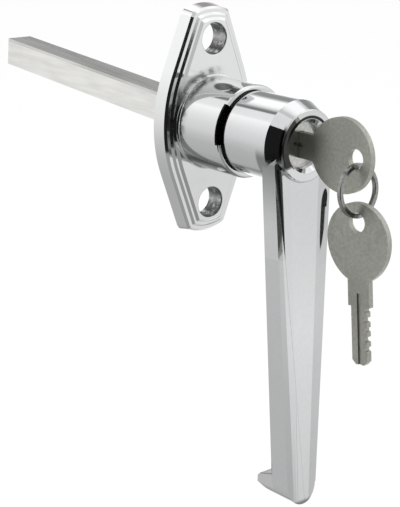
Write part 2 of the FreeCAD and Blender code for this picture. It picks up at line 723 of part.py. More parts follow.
def make_retaining_ring():
    body = new_body("retaining_ring")
    rear = S["retaining_ring_rear"]
    front = rear + S["retaining_ring_thickness"]
    washer(body, rear, front, S["shank_radius"] - S["retaining_ring_groove"],
           S["retaining_ring_radius"])
    half = S["retaining_ring_opening"] / 2
    opening = front_sketch(body)
    rectangle(opening, -half, 0.0, half, S["seat_radius"])
    pocket(body, opening, S["seat_depth"])


def make_washers():
    rear_washer = new_body("rear_washer")
    rear = S["retaining_ring_rear"] + S["retaining_ring_thickness"]
    washer(rear_washer, rear, rear + S["rear_washer_thickness"],
           S["shank_radius"] + SLIDING, S["seat_radius"] - S["washer_gap"])
    front_washer = new_body("front_washer")
    washer(front_washer, HUB_REAR - S["front_washer_thickness"], HUB_REAR,
           S["shank_radius"] + SLIDING, S["front_washer_radius"])


# Lock: shell, plug, clip, wafers and their springs, bolt, holding pin

def make_lock_shell():
    body = new_body("lock_shell")
    bore = S["plug_radius"] + TURNING
    rear_wall = S["shell_rear"] + S["shell_rear_wall"]
    turned(body, [
        (S["shell_rear"], S["tail_radius"] + TURNING), (S["shell_rear"], S["shell_radius"]),
        (S["hub_front"], S["shell_radius"]),
        (S["hub_front"], S["shell_radius"] - S["shell_mouth_land"]),
        (S["hub_front"] - S["shell_mouth_depth"], bore), (rear_wall, bore),
        (rear_wall, S["tail_radius"] + TURNING),
    ])
    hole = new_sketch(body, "XY_Plane", -(S["shell_radius"] - S["shell_pin_bite"]))
    circle(hole, 0.0, -S["shell_pin_depth"], S["shell_pin_radius"])
    pocket(body, hole, S["shell_radius"], along_normal=False)


def wafer_depth(index):
    return S["wafer_first"] - S["wafer_pitch"] * index


def wafer_side(index):
    """The lugs and springs stand on the two sides in turn."""
    return 1 if index % 2 == 0 else -1


def wafer_points(side, grow):
    """A wafer seen from the front: a tall plate with a lug on one side."""
    half = S["wafer_half_width"] + grow
    high = S["wafer_half_height"] + 2 * grow
    reach = S["lug_reach"] + grow
    points = [
        (-half, -high), (half, -high), (half, S["lug_bottom"] - grow),
        (reach, S["lug_bottom"] - grow), (reach, S["lug_top"] + grow),
        (half, S["lug_top"] + grow), (half, high), (-half, high),
    ]
    return [(side * x, y) for x, y in points]


def make_lock_plug():
    body = new_body("lock_plug")
    groove_front = S["shell_rear"] - SLIDING
    groove_rear = groove_front - S["clip_thickness"]
    groove_bottom = S["tail_radius"] - S["clip_groove"]
    turned(body, [
        (S["plug_face"], 0.0), (S["plug_face"], S["plug_radius"]), (PLUG_REAR, S["plug_radius"]),
        (PLUG_REAR, S["tail_radius"]), (groove_front, S["tail_radius"]),
        (groove_front, groove_bottom), (groove_rear, groove_bottom),
        (groove_rear, S["tail_radius"]), (S["tail_end"], S["tail_radius"]), (S["tail_end"], 0.0),
    ])
    cam = front_sketch(body, S["bolt_depth"] + 2 * SLIDING)
    circle(cam, CAM_SIDE, -CAM_SIDE, S["cam_pin_radius"])
    pad(body, cam, S["tail_end"] - S["bolt_depth"])
    keyway = front_sketch(body, BLADE_END - S["key_gap"])
    half = S["key_thickness"] / 2 + S["key_gap"]
    high = S["blade_width"] / 2 + S["key_gap"]
    rectangle(keyway, -half, -high, half, high)
    pocket(body, keyway, S["plug_face"] - BLADE_END + 1.0)
    seat = front_sketch(body, S["plug_face"] - S["neck_seat"])
    high = S["neck_width"] / 2 + S["key_gap"]
    rectangle(seat, -half, -high, half, high)
    pocket(body, seat, S["neck_seat"] + 1.0)
    for index in range(WAFERS):
        slot = front_sketch(body, wafer_depth(index) - S["wafer_thickness"] / 2 - SLIDING)
        polygon(slot, wafer_points(wafer_side(index), SLIDING))
        pocket(body, slot, S["wafer_thickness"] + 2 * SLIDING)
        pit = new_sketch(body, "XY_Plane", S["lug_bottom"])
        circle(pit, wafer_side(index) * S["spring_offset"], -wafer_depth(index),
               S["spring_radius"] + SLIDING)
        pocket(body, pit, S["spring_length"] + SLIDING, along_normal=False)


def make_plug_clip():
    body = new_body("plug_clip")
    front = S["shell_rear"] - SLIDING
    washer(body, front - S["clip_thickness"], front, S["tail_radius"] - S["clip_groove"],
           S["clip_radius"])
    half = S["tail_radius"] - S["clip_groove"]
    opening = front_sketch(body)
    rectangle(opening, -half, 0.0, half, S["clip_radius"] + 1.0)
    pocket(body, opening, S["shell_rear"])


def make_wafers():
    half = S["key_thickness"] / 2 + S["key_gap"]
    high = S["blade_width"] / 2 + S["key_gap"]
    for index in range(WAFERS):
        body = new_body("wafer_%d" % (index + 1))
        rear = wafer_depth(index) - S["wafer_thickness"] / 2
        outline = front_sketch(body, rear)
        polygon(outline, wafer_points(wafer_side(index), as_size(0.0)))
        pad(body, outline, S["wafer_thickness"])
        window = front_sketch(body, rear)
        rectangle(window, -half, -high, half, high)
        pocket(body, window, S["wafer_thickness"])


def make_wafer_springs():
    """Each small coil spring is sealed in the plug, so a sleeve of its outer form stands for it."""
    for index in range(WAFERS):
        body = new_body("wafer_spring_%d" % (index + 1))
        sleeve = new_sketch(body, "XY_Plane", S["lug_bottom"] - S["spring_length"])
        centre = (wafer_side(index) * S["spring_offset"], -wafer_depth(index))
        circle(sleeve, *centre, S["spring_radius"])
        circle(sleeve, *centre, S["spring_radius"] - S["spring_wire"])
        pad(body, sleeve, S["spring_length"])


def make_lock_bolt():
    body = new_body("lock_bolt")
    half, tip_half = S["bolt_half_width"], S["bolt_tip_half_width"]
    outline = front_sketch(body, S["bolt_depth"])
    polygon(outline, [
        (-half, -S["bolt_low"]), (half, -S["bolt_low"]), (half, S["bolt_shoulder"]),
        (tip_half, S["bolt_shoulder"]), (tip_half, S["bolt_tip"]), (-tip_half, S["bolt_tip"]),
        (-tip_half, S["bolt_shoulder"]), (-half, S["bolt_shoulder"]),
    ])
    pad(body, outline, S["bolt_thickness"])
    reach = S["cam_pin_radius"] + S["cam_gap"]
    slot = front_sketch(body, S["bolt_depth"])
    rectangle(slot, CAM_SIDE - reach, -CAM_SIDE - reach, S["cam_radius"] + reach,
              -CAM_SIDE + reach)
    pocket(body, slot, S["bolt_thickness"])


def make_shell_pin():
    top = -(S["shell_radius"] - S["shell_pin_bite"])
    low = -S["shell_pin_low"]
    make_pin("shell_pin", S["shell_pin_radius"], top - low,
             (0.0, -S["shell_pin_depth"], (top + low) / 2), Vector(0, 0, 1))


# Keys and ring

def make_key(name):
    """A flat key in its own frame: the neck's front is at the origin and the blade points to +Y."""
    body = new_body(name)
    half = S["neck_width"] / 2
    radius = S["bow_radius"]
    start = -S["neck_length"]
    widest = start - S["bow_taper"]
    drop = radius - half
    flank = (S["bow_taper"] * S["bow_taper"] + drop * drop) / (2 * drop)
    head = side_sketch(body)
    polygon(head, [(widest, -radius), (start, -half), (start, half), (widest, radius)], arcs={
        0: (widest, flank - radius, flank),
        2: (widest, radius - flank, flank),
        3: (widest, 0.0, radius),
    })
    pad(body, head, S["key_thickness"], both_ways=True)
    neck = side_sketch(body)
    rectangle(neck, start, -half, 0.0, half)
    pad(body, neck, S["key_thickness"], both_ways=True)
    wide = S["blade_width"] / 2
    blade = side_sketch(body)
    # The cut edge runs back from the tip, one flat cut for each wafer.
    length, tip = S["blade_length"], S["blade_tip"]
    points = [(length, tip - wide), (length, wide - tip), (length - tip, wide), (0.0, wide),
              (0.0, -wide)]
    for index in range(WAFERS):
        centre = KEY_SEAT - wafer_depth(index)
        depth = CUT_DEPTHS[index]
        slope = S["cut_width"] / 2 + depth / 3
        points += [
            (centre - slope, -wide), (centre - S["cut_width"] / 2, depth - wide),
            (centre + S["cut_width"] / 2, depth - wide), (centre + slope, -wide),
        ]
    polygon(blade, points + [(length - tip, -wide)])
    pad(body, blade, S["key_thickness"], both_ways=True)
    hole = side_sketch(body)
    circle(hole, -(HOLE_DEPTH - KEY_SEAT), 0.0, S["bow_hole_radius"])
    pocket(body, hole, 2 * S["key_thickness"], both_ways=True)
    # A shallow groove runs along both faces of the blade and neck.
    bottom = S["key_thickness"] / 2 - S["blade_groove_depth"]
    low, high = -S["blade_groove_width"] / 2, S["blade_groove_width"] / 2
    start, stop = -S["neck_length"] / 2, S["blade_length"] + 1.0
    right = side_sketch(body, bottom)
    rectangle(right, start, low, stop, high)
    pocket(body, right, S["key_thickness"], along_normal=True)
    left = side_sketch(body, -bottom)
    rectangle(left, start, low, stop, high)
    pocket(body, left, S["key_thickness"], along_normal=False)
    return body


def hang_up(body, drop, turn):
    """Hang a body on the leaning line below the first key's hole."""
    lean = math.radians(S["hang_lean"].number)
    tilt = Rotation(Vector(1, 0, 0), -S["hang_lean"].number)
    body.Placement = Placement(Vector(0, 0, 0), tilt.multiply(turn))
    bind(body, "Placement.Base.y", -HOLE_DEPTH - drop * math.sin(lean))
    bind(body, "Placement.Base.z", RING_PIVOT - drop * math.cos(lean))


def make_keys():
    key = make_key("key")
    bind(key, "Placement.Base.y", -KEY_SEAT)
    spare = make_key("spare_key")
    twist = Rotation(Vector(0, 0, 1), S["spare_turn"].number)
    hang_up(spare, SPARE_HOLE + HOLE_DEPTH - KEY_SEAT, twist.multiply(Rotation(Vector(1, 0, 0), -90)))


def make_key_ring():
    """A split ring: two turns of wire side by side, each with its own open end."""
    body = new_body("key_ring")
    outer = S["key_ring_radius"]
    inner = outer - S["key_ring_wire"]
    chamfer = S["key_ring_turn"] / 4
    for side in (1, -1):
        flat = side * S["key_ring_turn"]
        turned(body, [
            (0.0, inner), (flat - side * chamfer, inner), (flat, inner + chamfer),
            (flat, outer - chamfer), (flat - side * chamfer, outer), (0.0, outer),
        ])
        split = front_sketch(body)
        half = S["key_ring_split"] / 2
        shift = side * S["key_ring_wire"]
        rectangle(split, shift - half, -outer - 1.0, shift + half, -inner + 1.0)
        pocket(body, split, S["key_ring_turn"], along_normal=(side == 1))
    hang_up(body, RING_CENTRE, Rotation())


def main():
    make_base_plate()
    make_handle()
    make_spindle()
    make_spindle_pin()
    make_retaining_ring()
    make_washers()
    make_lock_shell()
    make_lock_plug()
    make_plug_clip()
    make_wafers()
    make_wafer_springs()
    make_lock_bolt()
    make_shell_pin()
    make_keys()
    make_key_ring()
    doc.recompute()
    for obj in doc.Objects:
        if "Invalid" in obj.State or "Error" in obj.State:
            raise RuntimeError("%s failed: %s" % (obj.Name, obj.State))
    for part in SUBPARTS:
        shape = part.Shape
        if shape.isNull() or not shape.isValid() or len(shape.Solids) != 1:
            raise RuntimeError("%s is not one valid solid" % part.Label)
    os.makedirs("parts", exist_ok=True)
    for part in SUBPARTS:
        part.Shape.exportStep("parts/%s.step" % part.Label)
        box = part.Shape.BoundBox
        print("%-16s %9.1f mm3  x %6.1f %6.1f  y %6.1f %6.1f  z %6.1f %6.1f" % (
            part.Label, part.Shape.Volume, box.XMin, box.XMax, box.YMin, box.YMax,
            box.ZMin, box.ZMax))


main()
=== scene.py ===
import json
import math

import bpy
from mathutils import Matrix, Vector

bl_info = {
    "name": "Garage Door Handle Lock",
    "version": (1, 1, 0),
    "blender": (4, 5, 0),
    "location": "3D View > Sidebar > Handle Lock",
    "description": "Dresses the solids of a garage door handle lock and sets up its studio",
    "category": "Object",
}

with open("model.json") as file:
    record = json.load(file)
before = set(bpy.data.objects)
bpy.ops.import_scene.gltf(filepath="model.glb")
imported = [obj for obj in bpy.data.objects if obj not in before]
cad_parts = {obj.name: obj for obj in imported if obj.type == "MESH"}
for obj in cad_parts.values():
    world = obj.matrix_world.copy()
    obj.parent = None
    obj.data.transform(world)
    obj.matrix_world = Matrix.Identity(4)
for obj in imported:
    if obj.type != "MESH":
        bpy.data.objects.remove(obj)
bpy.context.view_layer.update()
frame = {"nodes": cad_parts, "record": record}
NODES = frame["nodes"]
MOUNTS = {mount["name"]: mount for mount in frame["record"]["mounts"]}
WAFER_SPRINGS = [name for name in NODES if name.startswith("wafer_spring_")]
WAFERS = [name for name in NODES if name.startswith("wafer_") and name not in WAFER_SPRINGS]

# Lengths are in metres in the scene. The marks and the relief on the metal are in millimetres.
MM = 0.001
HOLES = MOUNTS["fixing_holes"]["dims"]
HOLE_RADIUS = HOLES["hole_r_mm"]
HOLE_HEIGHT = HOLES["spacing_y_mm"] / 2
SPINDLE_AXIS = MOUNTS["spindle"]["axis"]
SPINDLE_RISE = SPINDLE_AXIS[2] / SPINDLE_AXIS[1]


# Nodes: arithmetic on sockets becomes Math nodes

class Wire:
    """An output socket. Arithmetic on it adds Math nodes to its tree."""

    def __init__(self, maker, socket):
        self.maker = maker
        self.socket = socket

    def math(self, operation, *others):
        return self.maker.math(operation, self, *others)

    def __add__(self, other):
        return self.math("ADD", other)

    def __sub__(self, other):
        return self.math("SUBTRACT", other)

    def __rsub__(self, other):
        return self.maker.math("SUBTRACT", other, self)

    def __mul__(self, other):
        return self.math("MULTIPLY", other)

    def __truediv__(self, other):
        return self.math("DIVIDE", other)

    __radd__ = __add__
    __rmul__ = __mul__

    def size(self):
        """The value without its sign."""
        return self.math("ABSOLUTE")

    def held(self, low, high):
        """The value, held between low and high."""
        return self.math("MAXIMUM", low).math("MINIMUM", high)

    def ramp(self, start, end, least=0.0):
        """A straight rise from 0 at start to 1 at end, held between least and 1."""
        return ((self - start) / (end - start)).held(least, 1.0)

    def step(self, absent, full, least=0.0):
        """A soft step: least on the side where the value passes absent, 1 where it passes full."""
        return self.maker.node("ShaderNodeMapRange", {"interpolation_type": "SMOOTHSTEP"}, {
            "Value": self, "From Min": absent, "From Max": full, "To Min": least}).out("Result")


class Made:
    """A node that was just added."""

    def __init__(self, maker, node):
        self.maker = maker
        self.node = node

    def out(self, name=0):
        return Wire(self.maker, self.node.outputs[name])


class Maker:
    """Builds the nodes of one material or of the world."""

    def __init__(self, tree):
        self.tree = tree
        tree.nodes.clear()

    def node(self, kind, settings=None, sockets=None):
        """A node with its settings and with links or constants on its sockets."""
        node = self.tree.nodes.new(kind)
        for name, value in (settings or {}).items():
            setattr(node, name, value)
        for name, value in (sockets or {}).items():
            if isinstance(value, Wire):
                self.tree.links.new(value.socket, node.inputs[name])
            else:
                node.inputs[name].default_value = value
        return Made(self, node)

    def math(self, operation, *values):
        return self.node("ShaderNodeMath", {"operation": operation}, dict(enumerate(values))).out()

    def axes(self, vector):
        """The X, Y and Z of a vector."""
        parts = self.node("ShaderNodeSeparateXYZ", None, {"Vector": vector})
        return parts.out("X"), parts.out("Y"), parts.out("Z")

    def place(self):
        """Where a point of the piece is, in metres."""
        return self.node("ShaderNodeTexCoord").out("Object")

    def noise(self, scale, detail, stretch=None):
        """Noise on Object coordinates; stretch multiplies the scale along X, Y and Z."""
        place = self.place()
        if stretch:
            place = self.node("ShaderNodeMapping", None, {"Vector": place, "Scale": stretch}).out()
        return self.node("ShaderNodeTexNoise", None, {
            "Vector": place, "Scale": scale, "Detail": detail}).out()

    def mix(self, factor, low, high):
        """A colour between two colours: sockets 6 and 7, and output 2 of a Mix node."""
        return self.node("ShaderNodeMix", {"data_type": "RGBA"}, {
            0: factor, 6: low, 7: high}).out(2)

    def bump(self, rise, strength, distance, under):
        """A normal; under is the normal of the relief below this one, if there is any."""
        sockets = {"Height": rise, "Strength": strength, "Distance": distance}
        if under:
            sockets["Normal"] = under
        return self.node("ShaderNodeBump", None, sockets).out()

    def shades(self, value, stops):
        """The shade at a value from 0 to 1, from stops of (value, shade)."""
        made = self.node("ShaderNodeValToRGB", None, {"Fac": value})
        row = made.node.color_ramp.elements
        while len(row) < len(stops):
            row.new(0.5)
        for element, (place, shade) in zip(row, stops):
            element.position = place
            element.color = (shade, shade, shade, 1.0)
        return made.out("Color")

    def finish(self, shader, kind="ShaderNodeOutputMaterial"):
        self.node(kind, None, {"Surface": shader})


def blend(share, low, high):
    """low where the share is 0 and high where it is 1."""
    return low + (high - low) * share


def new_material(name):
    material = bpy.data.materials.new(name)
    material.use_nodes = True
    return material, Maker(material.node_tree)


# What a user would change

class LockFinish(bpy.types.PropertyGroup):
    """Colours of the lock's metals."""
    chrome: bpy.props.FloatVectorProperty(
        name="Chrome", description="Bright plate on the castings", subtype="COLOR",
        size=3, min=0.0, max=1.0, default=(0.655, 0.66, 0.665))
    # The plate's brighter chrome is painted light: it is the same plating as the castings, made
    # lighter where the plate is lit.
    plate: bpy.props.FloatVectorProperty(
        name="Plate", description="Brighter chrome on the oval plate", subtype="COLOR",
        size=3, min=0.0, max=1.0, default=(0.775, 0.78, 0.78))
    spindle: bpy.props.FloatVectorProperty(
        name="Spindle", description="Zinc plate on the square bar", subtype="COLOR",
        size=3, min=0.0, max=1.0, default=(0.95, 0.945, 0.92))
    key: bpy.props.FloatVectorProperty(
        name="Keys", description="Matt nickel plate on the keys", subtype="COLOR",
        size=3, min=0.0, max=1.0, default=(0.5, 0.5, 0.455))


class LockStudio(bpy.types.PropertyGroup):
    """Camera and stage."""
    focal_length: bpy.props.FloatProperty(
        name="Focal length", description="Focal length of the camera in millimetres",
        default=131.72, min=50.0, max=600.0)
    floor_drop: bpy.props.FloatProperty(
        name="Floor", description="How far the floor is below the hub's axis",
        default=0.135, min=0.0968, max=1.0, unit="LENGTH")


# Where the metal carries a mark: measures of a point of a piece

class Point:
    """X, Y and Z of a point of a piece, in millimetres."""

    def __init__(self, maker):
        self.maker = maker
        self.across, self.along, self.height = [part / MM for part in maker.axes(maker.place())]


def across(at):
    return at.across


def along(at):
    return at.along


def height(at):
    return at.height


def reach(at):
    """Distance from the hub's axis."""
    return (at.across * at.across + at.height * at.height).math("SQRT")


def hole_rise(at):
    """Height above or below the middle of the nearer fixing hole."""
    return (at.height.size() - HOLE_HEIGHT).size()


def hole_reach(at):
    """Distance from the axis of the nearer fixing hole."""
    rise = hole_rise(at)
    return (at.across * at.across + rise * rise).math("SQRT")


# The top of the hooked lip: its height where it meets the lever, how far that is in front of
# the mounting face, and what it falls for each millimetre towards the door.
LIP_ROOT = -88.85
LIP_BACK = 38.9
LIP_FALL = 0.3


def lip_rise(at):
    """Height above the sloping top of the hooked lip."""
    return at.height - (LIP_ROOT - (at.along + LIP_BACK) * LIP_FALL)


def bar_rise(at):
    """Height above the axis of the leaning spindle."""
    return at.height - at.along * SPINDLE_RISE


# Centre of the spot on top of the collar, and the squares of its half width and half length.
SPOT = (-4.6, -14.5)
SPOT_SPREAD = (2.6, 11.0)


def spot_reach(at):
    """0 in the middle of the collar's spot, 1 on its edge."""
    aside, ahead = at.across - SPOT[0], at.along - SPOT[1]
    return aside * aside / SPOT_SPREAD[0] + ahead * ahead / SPOT_SPREAD[1]


def pattern(scale, stretch=None, detail=4.0):
    """A measure that goes up and down like noise."""
    return lambda at: at.maker.noise(scale, detail, stretch)


# A mark is the product of its bounds. A bound is a measure, the value where the mark is absent,
# the value where it is full, and what is left of it where it is absent (nothing, if not said).
# Along is negative before the mounting face, and across is negative on the left.

# Painted shade in the gap round the lock, widest at the top
HUB_GAP_SHADE = [(reach, 6.95, 7.05), (reach, 7.85, 7.65), (along, -40.9, -41.1), (height, -0.5, 4.5)]
# A painted dark reflection on the left edge of the hub's front face
HUB_EDGE_REFLECTION = [(reach, 8.45, 8.75), (reach, 9.8, 9.6), (along, -40.6, -41.2), (across, -7.1, -8.1)]
# Painted shade on the left side of the lever, just under the hub, which is a little rougher there
# too
LEVER_SIDE_SHADE = [(height, 0.0, -3.0), (height, -22.0, -2.0), (across, -7.9, -8.7),
              (along, -33.5, -34.5)]
# The front of the lever, below the hub
LEVER_FRONT = [(along, -35.3, -36.3), (height, -2.5, -5.5)]
# A painted dark reflection on the top of the hooked lip behind the lever's tip, which is a little
# rougher too
LIP_TOP_REFLECTION = [(lip_rise, -0.75, -0.25), (height, -85.0, -87.0), (along, -39.1, -38.3)]
# Painted shade along the bottom edge of the lever, which is a little rougher too
TIP_EDGE_SHADE = [(height, -95.1, -96.3)]
# Painted shade on the walls of the fixing holes, patchy and lighter at mid height; the walls are a
# little rougher too
HOLE_WALL_SHADE = [(hole_reach, HOLE_RADIUS + 0.22, HOLE_RADIUS + 0.02), (hole_rise, 0.0, 2.0, 0.55),
              (pattern(900.0, detail=5.0), 0.7, 0.46, 0.55)]
# Painted shade over all of the collar in front of the plate
COLLAR_SHADE = [(along, -6.2, -7.8)]
# A mottled painted dark reflection on the left half of the collar's foot, which is a little
# rougher too
COLLAR_FOOT_REFLECTION = [(along, -9.2, -6.8), (reach, 15.5, 13.7), (across, 5.0, -1.0), (height, -9.0, 1.0),
               (pattern(420.0), 0.4, 0.6, 0.3)]
# Painted dark reflection in streaks along the lower left of the collar, which is a little rougher
# there too
COLLAR_LOW_REFLECTION = [(along, -5.2, -6.0), (reach, 11.7, 12.1), (height, -4.6, -9.8), (across, 4.5, -3.5),
              (pattern(330.0, (1.0, 0.12, 1.0)), 0.4, 0.6, 0.4)]
# A dark spot on top of the collar
COLLAR_SPOT = [(height, 7.0, 9.0), (spot_reach, 1.35, 0.65)]
# Painted shade on the lower half of the plate, which is a little rougher too
PLATE_LOW_SHADE = [(height, 4.0, -16.0), (along, -6.5, -5.5)]
# Painted shade, in streaks, on the upper side of the leaning bar
SPINDLE_TOP_SHADE = [(bar_rise, 3.45, 3.75), (pattern(420.0, (1.0, 0.08, 1.0)), 0.38, 0.62, 0.45)]


def mark(at, bounds):
    """1 in the mark, 0 outside it."""
    share = 1.0
    for measure, *limits in bounds:
        share = share * measure(at).step(*limits)
    return share


# The lever's front, in millimetres. Each side has a worn shoulder that starts wide and soft
# under the hub and dies out down the lever. A line down the lever is its distance from the
# middle at the height of the hub's axis, and what it gains for each millimetre of height.
# FACE_LINE is the edge of the flat face.
TIP_HEIGHT = -97.0
FACE_LINE = (5.1, 0.0325)
# On the left the metal rises by this slope from the edge of the face to the shoulder, over
# ROLL_REACH at most. The shoulder's distance from the middle is SHOULDER_TIP at the tip and
# SHOULDER_RISE more at the hub.
FACE_ROLL = 0.06
ROLL_REACH = 9.0
SHOULDER_TIP = 3.2
SHOULDER_RISE = 5.9
SHOULDER_CURVE = 1.15
# The drop on the left: its line, its width at the hub, its slope, and how it narrows: the
# lower height, the upper height, and the share of its width that is left at the lower one.
STREAK_LINE = (9.45, 0.105)
STREAK_WIDTH = 2.6
STREAK_SLOPE = 0.62
STREAK_NARROWS = (-29.0, -5.0, 0.02)
# The short drop on the right, which sets in downwards over SPEAR_TOP and fades out down to the
# lower of SPEAR_FADES, and the shallower band that goes on below it.
SPEAR_LINE = (9.05, 0.111)
SPEAR_WIDTH = 2.9
SPEAR_SLOPE = 0.125
SPEAR_TOP = (-10.5, -15.5)
SPEAR_FADES = (-32.0, -17.0)
BAND_LINE = (7.25, 0.049)
BAND_WIDTH = 1.6
BAND_SLOPE = 0.012
# The fine groove along the left edge of the face, on the lower part of the lever.
EDGE_DEPTH = 0.03
EDGE_WIDTH = 0.3
EDGE_TOP = (-52.0, -72.0)


def line(at, values):
    """Distance of a line down the lever from its middle, at the height of a point."""
    start, gain = values
    return start + at.height * gain


def fall(aside, centre, width, slope):
    """A drop of the surface across a line, in millimetres."""
    return aside.step(centre - width * 0.5, centre + width * 0.5) * width * slope


def lever_relief(at):
    """Height of the lever's front in millimetres, and where it counts."""
    left = 0.0 - at.across
    face = line(at, FACE_LINE)
    shoulder = SHOULDER_TIP + SHOULDER_RISE * at.height.ramp(TIP_HEIGHT, 0.0).math(
        "POWER", SHOULDER_CURVE)
    roll = (left.math("MINIMUM", shoulder) - face).held(0.0, ROLL_REACH) * FACE_ROLL
    streak = fall(left, line(at, STREAK_LINE), at.height.ramp(*STREAK_NARROWS) * STREAK_WIDTH,
                  STREAK_SLOPE)
    spear = at.height.step(*SPEAR_TOP) * at.height.ramp(*SPEAR_FADES)
    drop = fall(at.across, line(at, SPEAR_LINE).math("MAXIMUM", line(at, BAND_LINE)),
                blend(spear, BAND_WIDTH, SPEAR_WIDTH), blend(spear, BAND_SLOPE, SPEAR_SLOPE))
    edge = (left - face).size().step(EDGE_WIDTH, 0.0) * at.height.step(*EDGE_TOP) * EDGE_DEPTH
    return roll - streak - drop - edge, mark(at, LEVER_FRONT)


# Metals

# Noise that darkens and roughens each metal: a fine pattern (its detail and its share) and a
# broad one (scale and detail), and the values between which the darker spots come in.
GRAIN_DETAIL = 5.0
GRAIN_SHARE = 0.6
BROAD = (60.0, 2.0)
SPOTS = (0.3, 0.7)
BUMP_DETAIL = 4.0

# A grain is (scale, stretch). A bump is (scale, stretch, strength, depth in metres). A metal
# is its base colour, the share of it in the darker spots, the bounds of its roughness, its
# grain and its bumps. The base colours of zinc, nickel and chrome are set in the panel, and
# the share in the darker spots of the chrome goes by the piece.
CHROME = ((0.04, 0.085), (900.0, None), [(140.0, None, 0.2, 0.00002)])
CHROME_SHARE = 0.96
PLATE_SHARE = 0.97
ZINC = (0.84, (0.14, 0.26), (700.0, (1.0, 0.12, 1.0)),
        [(1500.0, (1.0, 0.05, 1.0), 0.35, 0.00003)])
NICKEL = (0.84, (0.44, 0.58), (1300.0, None), [(4000.0, None, 0.5, 0.00003)])
SMALL = ((1500.0, None), [(3000.0, None, 0.3, 0.00002)])
RING = ((0.36, 0.36, 0.35), 0.6, (0.12, 0.26), *SMALL)
LOCK_METALS = {
    "satin_chrome": ((0.55, 0.55, 0.53), 0.8, (0.16, 0.3), (1200.0, None),
                     [(2500.0, None, 0.3, 0.00002)]),
    "plain_steel": ((0.42, 0.42, 0.43), 0.72, (0.25, 0.45), *SMALL),
    "spring_steel": ((0.2, 0.21, 0.23), 0.65, (0.25, 0.4), *SMALL),
    "stamped_brass": ((0.7, 0.55, 0.28), 0.78, (0.22, 0.4), *SMALL),
    # The front washer is plain steel; its near-black colour is painted shade.
    "washer_steel_in_painted_shade": ((0.05, 0.05, 0.05), 0.6, (0.4, 0.6), *SMALL),
}
LOCK_PIECES = {
    "satin_chrome": ["lock_plug"],
    "plain_steel": ["spindle_pin", "rear_washer", "shell_pin", "lock_bolt"],
    "spring_steel": ["retaining_ring", "plug_clip"] + WAFER_SPRINGS,
    "stamped_brass": WAFERS,
    "washer_steel_in_painted_shade": ["front_washer"],
}

# Marks of each casting and of the bar: the mark, the share of the base colour in it, and the
# roughness that it adds.
HANDLE_MARKS = [(HUB_GAP_SHADE, 0.06, 0.2), (HUB_EDGE_REFLECTION, 0.1, 0.0), (LEVER_SIDE_SHADE, 0.45, 0.1),
                (LIP_TOP_REFLECTION, 0.22, 0.1), (TIP_EDGE_SHADE, 0.35, 0.1)]
PLATE_MARKS = [(COLLAR_SHADE, 0.85, 0.0), (PLATE_LOW_SHADE, 0.8, 0.02), (COLLAR_FOOT_REFLECTION, 0.3, 0.1),
               (COLLAR_LOW_REFLECTION, 0.25, 0.05), (COLLAR_SPOT, 0.12, 0.2), (HOLE_WALL_SHADE, 0.12, 0.2)]
# The lock shell carries the same painted shade of the gap round the lock.
SHELL_MARKS = [(HUB_GAP_SHADE, 0.06, 0.2)]
SPINDLE_MARKS = [(SPINDLE_TOP_SHADE, 0.62, 0.0)]


def colour(values, share=1.0):
    return (*(value * share for value in values), 1.0)


def metal(name, base, worn, rough, grain, bumps, marks=(), relief=None):
    """A metal whose colour, roughness and relief vary a little, from values as listed above."""
    material, maker = new_material(name)
    at = Point(maker) if marks or relief else None
    scale, stretch = grain
    spots = blend(GRAIN_SHARE, maker.noise(*BROAD),
                  maker.noise(scale, GRAIN_DETAIL, stretch)).step(*SPOTS)
    tint = maker.mix(spots, colour(base), colour(base, worn))
    roughness = blend(spots, *rough)
    for bounds, share, added in marks:
        mask = mark(at, bounds)
        tint = maker.mix(mask, tint, colour(base, share))
        roughness = roughness + mask * added
    normal = None
    if relief:
        rise, where = relief(at)
        normal = maker.bump(rise, where, MM, normal)
    for scale, stretch, strength, depth in bumps:
        normal = maker.bump(maker.noise(scale, BUMP_DETAIL, stretch), strength, depth, normal)
    maker.finish(maker.node("ShaderNodeBsdfPrincipled", None, {
        "Base Color": tint, "Metallic": 1.0, "Roughness": roughness, "Normal": normal}).out())
    return material


def dress(names, material):
    """Give the CAD solids a material of their own."""
    for name in names:
        node = NODES[name]
        node.data.materials.clear()
        node.data.materials.append(material)


class LOCK_OT_castings(bpy.types.Operator):
    """Chrome plate on the base plate, the handle and the lock shell"""
    bl_idname = "lock.castings"
    bl_label = "Castings"

    def execute(self, context):
        finish = context.scene.lock_finish
        dress(["handle"], metal("handle_chrome", finish.chrome, CHROME_SHARE, *CHROME,
                                HANDLE_MARKS, lever_relief))
        dress(["base_plate"], metal("plate_chrome", finish.plate, PLATE_SHARE, *CHROME,
                                    PLATE_MARKS))
        dress(["lock_shell"], metal("shell_chrome", finish.chrome, CHROME_SHARE, *CHROME,
                                    SHELL_MARKS))
        return {"FINISHED"}


class LOCK_OT_spindle(bpy.types.Operator):
    """Satin zinc plate on the square spindle"""
    bl_idname = "lock.spindle"
    bl_label = "Spindle"

    def execute(self, context):
        base = context.scene.lock_finish.spindle
        dress(["square_spindle"], metal("zinc_plate", base, *ZINC, SPINDLE_MARKS))
        return {"FINISHED"}


class LOCK_OT_lock_parts(bpy.types.Operator):
    """Plug, wafers, springs, pins, rings and washers"""
    bl_idname = "lock.lock_parts"
    bl_label = "Lock parts"

    def execute(self, context):
        for name, look in LOCK_METALS.items():
            dress(LOCK_PIECES[name], metal(name, *look))
        return {"FINISHED"}


class LOCK_OT_keys(bpy.types.Operator):
    """Matt nickel on both keys and bright steel on their ring"""
    bl_idname = "lock.keys"
    bl_label = "Keys and ring"

    def execute(self, context):
        base = context.scene.lock_finish.key
        dress(["key", "spare_key"], metal("matt_nickel", base, *NICKEL))
        dress(["key_ring"], metal("ring_steel", *RING))
        return {"FINISHED"}


# Studio

